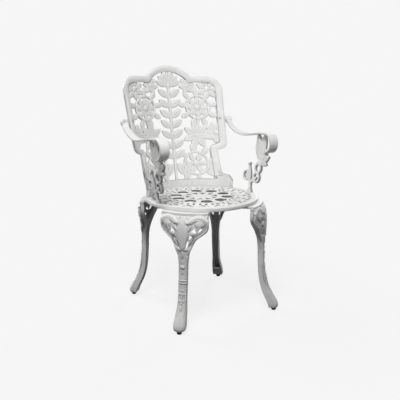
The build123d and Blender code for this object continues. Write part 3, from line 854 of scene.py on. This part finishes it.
# Each section: its share of the leg's height, its reach from the seat's axis, half width and bulge
leg_share = np.array((0, 0.031, 0.077, 0.134, 0.206, 0.296, 0.411, 0.540, 0.694, 0.758, 0.823, 0.874,
                      0.951, 1))
leg_reach = np.array((295, 297, 289, 275, 260, 250, 243.5, 239.5, 240, 240.5, 241.5, 241, 236, 226))
leg_half_width = np.array((19, 21, 20, 18, 14.8, 13.2, 14.2, 15, 21.5, 28.5, 52, 73, 80, 83))
leg_bulge = np.array((11, 11, 9, 7, 5.5, 5, 5, 5, 7, 10, 17, 24, 20, 16))


def smooth_rows(height, values):
    """A smooth run through the leg's sections, by Hermite pieces."""
    knots = leg_foot + leg_share * (leg_top - leg_foot)
    slopes = np.gradient(values, knots)
    index = np.clip(np.searchsorted(knots, height) - 1, 0, len(knots) - 2)
    step = knots[index + 1] - knots[index]
    t = np.clip((height - knots[index]) / step, 0, 1)
    start = (1 + 2 * t) * (1 - t) ** 2 * values[index] + t * (1 - t) ** 2 * step * slopes[index]
    end = t**2 * (3 - 2 * t) * values[index + 1] + t**2 * (t - 1) * step * slopes[index + 1]
    return start + end


def on_leg(flat):
    """Across, up and proud of the front of a leg that faces -Y, about the seat's middle."""
    x, height, proud = flat.T
    half_width = smooth_rows(height, leg_half_width)
    bulge = smooth_rows(height, leg_bulge)
    radius = (half_width**2 + bulge**2) / (2 * bulge)
    side = np.clip(x / radius, -0.96, 0.96)
    front = radius * (1 - np.sqrt(1 - side**2)) - smooth_rows(height, leg_reach)
    out = np.c_[side, -np.sqrt(1 - side**2)]
    return np.c_[x + out[:, 0] * proud, front + out[:, 1] * proud, height] * MM


def turned(mesh, degrees):
    """A copy of a leg's mesh, turned about the seat's middle and set in the chair's frame."""
    copy = mesh.copy()
    copy.transform(Matrix.Translation((0, seat_y * MM, 0)) @ Matrix.Rotation(radians(degrees), 4, "Z"))
    return copy


# %% Leg carving
def tongue(stations, proud, root=-5.0, half=8):
    """A plain raised tongue down the leg; stations are (height, half width)."""
    side = np.linspace(-1, 1, 2 * half + 1)
    rows = []
    for height, width in stations:
        crown = proud * (1 - np.abs(side) ** 3)
        top = np.c_[side * width, np.full_like(side, height), crown]
        under = np.c_[side * width * 0.9, np.full_like(side, height), np.full_like(side, root)]
        rows.append(np.r_[top, under[::-1]])
    return shell(rows)


def run_out(path, depth=6, share=0.2):
    """A path whose last stretch sinks, so that its roll runs out into the casting."""
    points, closed = path
    way = np.linspace(0, 1, len(points))
    sink = depth * np.clip((way - 1 + share) / share, 0, 1) ** 2
    return points - np.outer(sink, (0, 0, 1)), closed


# Drawn across and up the front of the leg; the tongue and the cap are (height, half width)
knee_tongue = [(398, 12), (386, 12), (374, 15), (360, 20), (346, 23), (330, 22), (316, 18), (302, 13),
               (290, 7), (283, 1)]
knee_cap = [(405.5, 82), (399, 82), (392, 80)]
brow = [(9, 386), (12, 380), (18, 378), (25, 382), (34, 390), (47, 394), (60, 393), (72, 387), (81, 377)]
fold = [(29, 374), (36, 381), (48, 385), (62, 383), (72, 375), (76, 364)]
edge = [(80, 376), (80, 360), (74, 345), (62, 334), (50, 326), (40, 317), (32, 304), (26, 290), (20, 274),
        (15, 258)]
bud = (57, 371)
knob = (32, 382)
disc = (33, 338)
boss_height = 222
band_heights = (166, 175)
shin_leaf_heights = (140, 118, 96)
bead_edge = 13
leg_relief = [
    tongue(knee_tongue, 4.5),
    tongue(knee_cap, 1.0),
    rolls(both([line(brow)]), 15, 9),
    rolls(both([line(fold)]), 5, 6),
    rolls(both([run_out(line(edge))]), 8, 8),
    buttons(pair(bud), 14, 3.6),
    buttons(pair(knob), 5, 4.5),
    buttons(pair(disc), 8, 3.6),
    leaves(mirrored([(57, 368, 248)]), 28, 8, 3.2),
    leaves(mirrored([(30, 366, 232)]), 24, 9, 3.5),
    leaves(mirrored([(33, 322, 240)]), 26, 8, 3.0),
    leaves(mirrored([(24, 296, 252)]), 22, 8, 3.0),
    leaves(mirrored([(0, 280, 58), (0, 280, 22)]), 22, 9, 2.8),
    leaves([(0, 282, -90)], 30, 11, 2.8),
    buttons([(0, boss_height)], 8, 4.0),
    leaves([(0, boss_height - 8, -90), (0, boss_height + 8, 90)], 18, 9, 2.0),
    rolls([line([(-15, z), (0, z), (15, z)]) for z in band_heights], 4, 4.4),
    leaves([(0, z, -90) for z in shin_leaf_heights], 22, 10, 2.4),
    buttons([(0, z + 1) for z in shin_leaf_heights], 4, 2.8),
    leaves(mirrored([(2, z - 8, -30) for z in shin_leaf_heights[:2]]), 12, 7, 2.0),
    rolls(both([line([(bead_edge, z) for z in range(60, 270, 10)])]), 3.0, 3.0),
]
leg_copy = cad_copy("front_left_leg")
leg_copy.transform(Matrix.Rotation(radians(45), 4, "Z") @ Matrix.Translation((0, -seat_y * MM, 0)))
leg_skin = fuse([leg_copy] + [lay(mesh, on_leg) for mesh in leg_relief], 0.0012, 2)


lit_from = 270
lit_to = 380


def leg_painted_shade(places, normals):
    """Painted shade on the inside of the channel, painted less dark near the seat, where light falls
    through.
    """
    lit = 0.5 * np.clip((places[:, 2] - lit_from) / (lit_to - lit_from), 0, 1)
    return np.clip(1.3 * normals[:, 1], 0, 1) * (1 - lit) * (places[:, 2] < leg_top)


mark_painted_shade(leg_skin, leg_painted_shade, depth=0.0006)
leg_skin = thin(leg_skin)
for corner_name, degrees in leg_turns.items():
    dress(f"{corner_name}_leg_casting", turned(leg_skin, degrees), white_coat,
          [f"{corner_name}_leg"])

# %% [markdown]
# ## The fasteners
# Every bolt is an M6 button head with a hexagon socket. The same head, shank, washer and nut
# appear many times, so each is made once as a small closed form and spread on points that
# carry the direction and the length of the bolt there.


# %% Bolt, washer and nut forms
def polygon_ring(radius, height, flats=0, sides=24):
    """A level ring of points: a circle, or a polygon with that many flats."""
    angles = np.linspace(0, 2 * pi, sides, endpoint=False)
    reach = np.full(sides, float(radius))
    if flats:
        half = pi / flats
        reach = radius / np.cos((angles % (2 * half)) - half)
    return np.c_[reach * np.cos(angles), reach * np.sin(angles), np.full(sides, height)]


def turned_form(profile, holed=False):
    """A closed form about an upright axis; with a hole, its last ring joins its first."""
    rings = [polygon_ring(*point) for point in profile]
    return shell(rings + rings[:1] if holed else rings)


# Profiles of (radius, height), or (radius, height, flats) where the ring is a hexagon
head_profile = [(3, 0), (5.25, 0), (5.25, -0.7), (4.95, -1.8), (4.2, -2.8), (3.2, -3.3), (2.0, -3.3, 6),
                (1.9, -1.5, 6)]
shank_profile = [(3, 0), (3, 0.9), (2.5, 1.0)]
washer_profile = [(3.3, 0), (5.9, 0), (6.2, 0.3), (6.2, 1.3), (5.9, 1.6), (3.3, 1.6)]
nut_profile = [(3.03, 0), (4.7, 0), (5.0, 0.5, 6), (5.0, 4.5, 6), (4.7, 5.0), (3.03, 5.0)]
head = link_object("bolt_head_form", turned_form(head_profile))
shank = link_object("bolt_shank_form", turned_form(shank_profile))
washer = link_object("washer_form", turned_form(washer_profile, holed=True))
nut = link_object("nut_form", turned_form(nut_profile, holed=True))
print("head faces:", len(head.data.polygons), "nut faces:", len(nut.data.polygons))

# %% Where the bolts stand
washer_thickness = 1.6
nut_thickness = 5
thread_engagement = 8
leg_bolt_half_angle = 13
centre_bolt_angle = 10
end_length = washer_thickness + thread_engagement
rim_underside = seat_height - seat_rim_thickness
rim_length = seat_rim_thickness + end_length
# Each upright bolt: the pieces that it holds, its angle, the face under its washer and its length
upright = []
for corner_name, degrees in leg_turns.items():
    length = leg_flange + (rim_length if corner_name.startswith("rear") else end_length)
    for half_angle in (-leg_bolt_half_angle, leg_bolt_half_angle):
        upright.append((f"{corner_name}_leg", degrees - 90 + half_angle, leg_top, length))
for angle in (90 - centre_bolt_angle, 90 + centre_bolt_angle):
    upright.append(("back_centre", angle, rim_underside, rim_length))
upright.append(("right_arm_foot", -bracket_angle, rim_underside, rim_length))
upright.append(("left_arm_foot", 180 + bracket_angle, rim_underside, rim_length))
places = [(bolt_circle * cos(radians(a)), seat_y + bolt_circle * sin(radians(a)), z - washer_thickness)
          for _, a, z, _ in upright]
turns = [(0, 0, 0)] * len(upright)
lengths = [length for *_, length in upright]
washer_places = list(places)

rail_bolt = (195, 267)
rail_stand = 7.6
ear_thickness = 8
rail_stack = 2 * rail_stand + ear_thickness
nut_places = []
rail_turns = []
for side in (-1, 1):
    wall, rear = wall_rear(np.array([side * rail_bolt[0]]), np.array([rail_bolt[1]]))
    middle = wall[0]
    axis = rear[0]
    euler = tuple(Vector(axis).to_track_quat("Z", "Y").to_euler())
    places.append(tuple(middle - rail_stand * axis))
    turns.append(euler)
    lengths.append(rail_stack + washer_thickness + nut_thickness)
    washer_places.append(tuple(middle + (rail_stack - rail_stand) * axis))
    nut_places.append(tuple(middle + (rail_stack - rail_stand + washer_thickness) * axis))
    rail_turns.append(euler)
print("bolts:", len(places), "washers:", len(washer_places), "nuts:", len(nut_places))


# %% Bolts, washers and nuts as pieces
def to_metres(flat):
    """Millimetres in the chair's own frame, in metres."""
    return flat * MM


stems = dict.fromkeys(name for name, *_ in upright if not name.endswith("foot"))
bolt_nodes = [f"{stem}_bolts" for stem in stems]
bolt_nodes += [f"{side}_{kind}_bolt" for side in ("left", "right") for kind in ("arm_foot", "rail")]
washer_nodes = [name.replace("bolt", "washer") for name in bolt_nodes]
nut_nodes = ["left_rail_nut", "right_rail_nut"]
even = [(1, 1, 1)]
heads = spread(head, places, turns, even * len(places), steel)
shanks = spread(shank, places, turns, [(1, 1, length) for length in lengths], steel)
dress("bolts", lay(join([heads, shanks]), to_metres), steel, bolt_nodes)
washers = spread(washer, washer_places, turns, even * len(places), steel)
dress("washers", lay(washers, to_metres), steel, washer_nodes)
nuts = spread(nut, nut_places, rail_turns, even * len(nut_places), steel)
dress("rail_nuts", lay(nuts, to_metres), steel, nut_nodes)
for form_object in (leaf, button, head, shank, washer, nut):
    bpy.data.objects.remove(form_object)

# %% [markdown]
# ## Floor, light and camera
# The photograph was taken in a bright studio with the light mostly from above, so the seat and
# the back are pale and the legs fall into grey. Its floor is nearly as white as its wall.
# Here the camera sees the floor mostly as an even pale tone, with a share of real light and
# shadow near the chair. All other rays meet dark grey, so the floor throws little light back up.

# %% Tones of the studio
pale = 0.921
bounce = 0.03
shadow_share = 0.13
ambient = 0.055


def seen_rays(tree):
    """One where a ray comes from the camera, a mirror or a pane, and zero for bounced light."""
    rays = tree.nodes.new("ShaderNodeLightPath")
    seen = rays.outputs["Is Camera Ray"]
    for label in ("Is Glossy Ray", "Is Transmission Ray"):
        either = tree.nodes.new("ShaderNodeMath")
        either.operation = "MAXIMUM"
        tree.links.new(seen, either.inputs[0])
        tree.links.new(rays.outputs[label], either.inputs[1])
        seen = either.outputs["Value"]
    return seen


def mix_shaders(tree, share, first, second):
    """A Mix Shader between two shaders, by a share that another node gives."""
    mix = tree.nodes.new("ShaderNodeMixShader")
    tree.links.new(share, mix.inputs["Fac"])
    tree.links.new(first, mix.inputs[1])
    tree.links.new(second, mix.inputs[2])
    return mix.outputs["Shader"]


# %% Floor and world
floor_mesh = bpy.data.meshes.new("floor")
floor_mesh.from_pydata([(-8, -8, 0), (8, -8, 0), (8, 8, 0), (-8, 8, 0)], [], [(0, 1, 2, 3)])
floor = link_object("floor", floor_mesh)

floor_paint, tree, shader = new_material("pale_floor")
shader.inputs["Base Color"].default_value = (bounce, bounce, bounce, 1)
shader.inputs["Roughness"].default_value = 0.9
shader.inputs["Specular IOR Level"].default_value = 0.0
glow = add_node(tree, "ShaderNodeEmission", Color=(pale, pale, pale, 1))
lit = add_node(tree, "ShaderNodeBsdfDiffuse", Color=(pale, pale, pale, 1))
place = tree.nodes.new("ShaderNodeTexCoord")
reach = tree.nodes.new("ShaderNodeVectorMath")
reach.operation = "LENGTH"
tree.links.new(place.outputs["Object"], reach.inputs[0])
fade = ramp(tree, reach.outputs["Value"], [(0.35, (1 - shadow_share,) * 3), (0.95, (1, 1, 1))])
look = mix_shaders(tree, fade, lit.outputs["BSDF"], glow.outputs["Emission"])
surface = mix_shaders(tree, seen_rays(tree), shader.outputs["BSDF"], look)
tree.links.new(surface, tree.nodes["Material Output"].inputs["Surface"])
floor_mesh.materials.append(floor_paint)

world = bpy.data.worlds.new("studio")
bpy.context.scene.world = world
world.use_nodes = True
tree = world.node_tree
tone = tree.nodes.new("ShaderNodeMix")
tone.data_type = "RGBA"
tone.inputs["A"].default_value = (ambient, ambient, ambient, 1)
tone.inputs["B"].default_value = (pale, pale, pale, 1)
rays = tree.nodes.new("ShaderNodeLightPath")
tree.links.new(rays.outputs["Is Camera Ray"], tone.inputs["Factor"])
tree.links.new(tone.outputs["Result"], tree.nodes["Background"].inputs["Color"])
print("floor nodes:", len(floor_paint.node_tree.nodes))


# %% Lamps and camera
def softbox(name, place, aim, width, power):
    """A square area lamp that looks at a point."""
    data = bpy.data.lights.new(name, "AREA")
    data.size = width
    data.energy = power
    lamp = link_object(name, data)
    lamp.location = place
    lamp.rotation_euler = (Vector(aim) - Vector(place)).to_track_quat("-Z", "Y").to_euler()
    return lamp


softbox("key_above", (-0.95, -1.15, 2.8), (0, 0, 0.6), 0.9, 62)
softbox("fill_left", (-2.4, -0.9, 1.1), (0, 0, 0.45), 1.2, 0.8)
softbox("fill_right", (1.9, -1.9, 0.9), (0.1, 0, 0.45), 1.0, 3.5)
softbox("rear_left", (-1.5, 2.5, 1.7), (0, 0.1, 0.5), 1.2, 44)
softbox("rear_right", (2.3, 1.5, 1.5), (0, 0.1, 0.5), 1.2, 33)
grids = [
    softbox("front_grid", (-0.2, -2.5, 1.5), (0, 0.1, 0.64), 0.5, 0.34),
    softbox("arm_grid", (-2.2, -0.7, 1.3), (-0.2, 0, 0.62), 0.5, 0.16),
]
for grid in grids:
    grid.data.spread = radians(30)

eye = Vector((-0.92019, -1.65305, 0.81693))
azimuth = radians(29.51)
down = radians(12.56)
gaze = Vector((sin(azimuth) * cos(down), cos(azimuth) * cos(down), -sin(down)))
camera_data = bpy.data.cameras.new("photo_camera")
camera_data.lens = 46.03
camera_data.sensor_width = 36
camera = link_object("photo_camera", camera_data)
camera.location = eye
camera.rotation_euler = gaze.to_track_quat("-Z", "Y").to_euler()
scene = bpy.context.scene
scene.camera = camera
scene.view_settings.view_transform = "Standard"
print("camera at", tuple(round(v, 3) for v in eye))
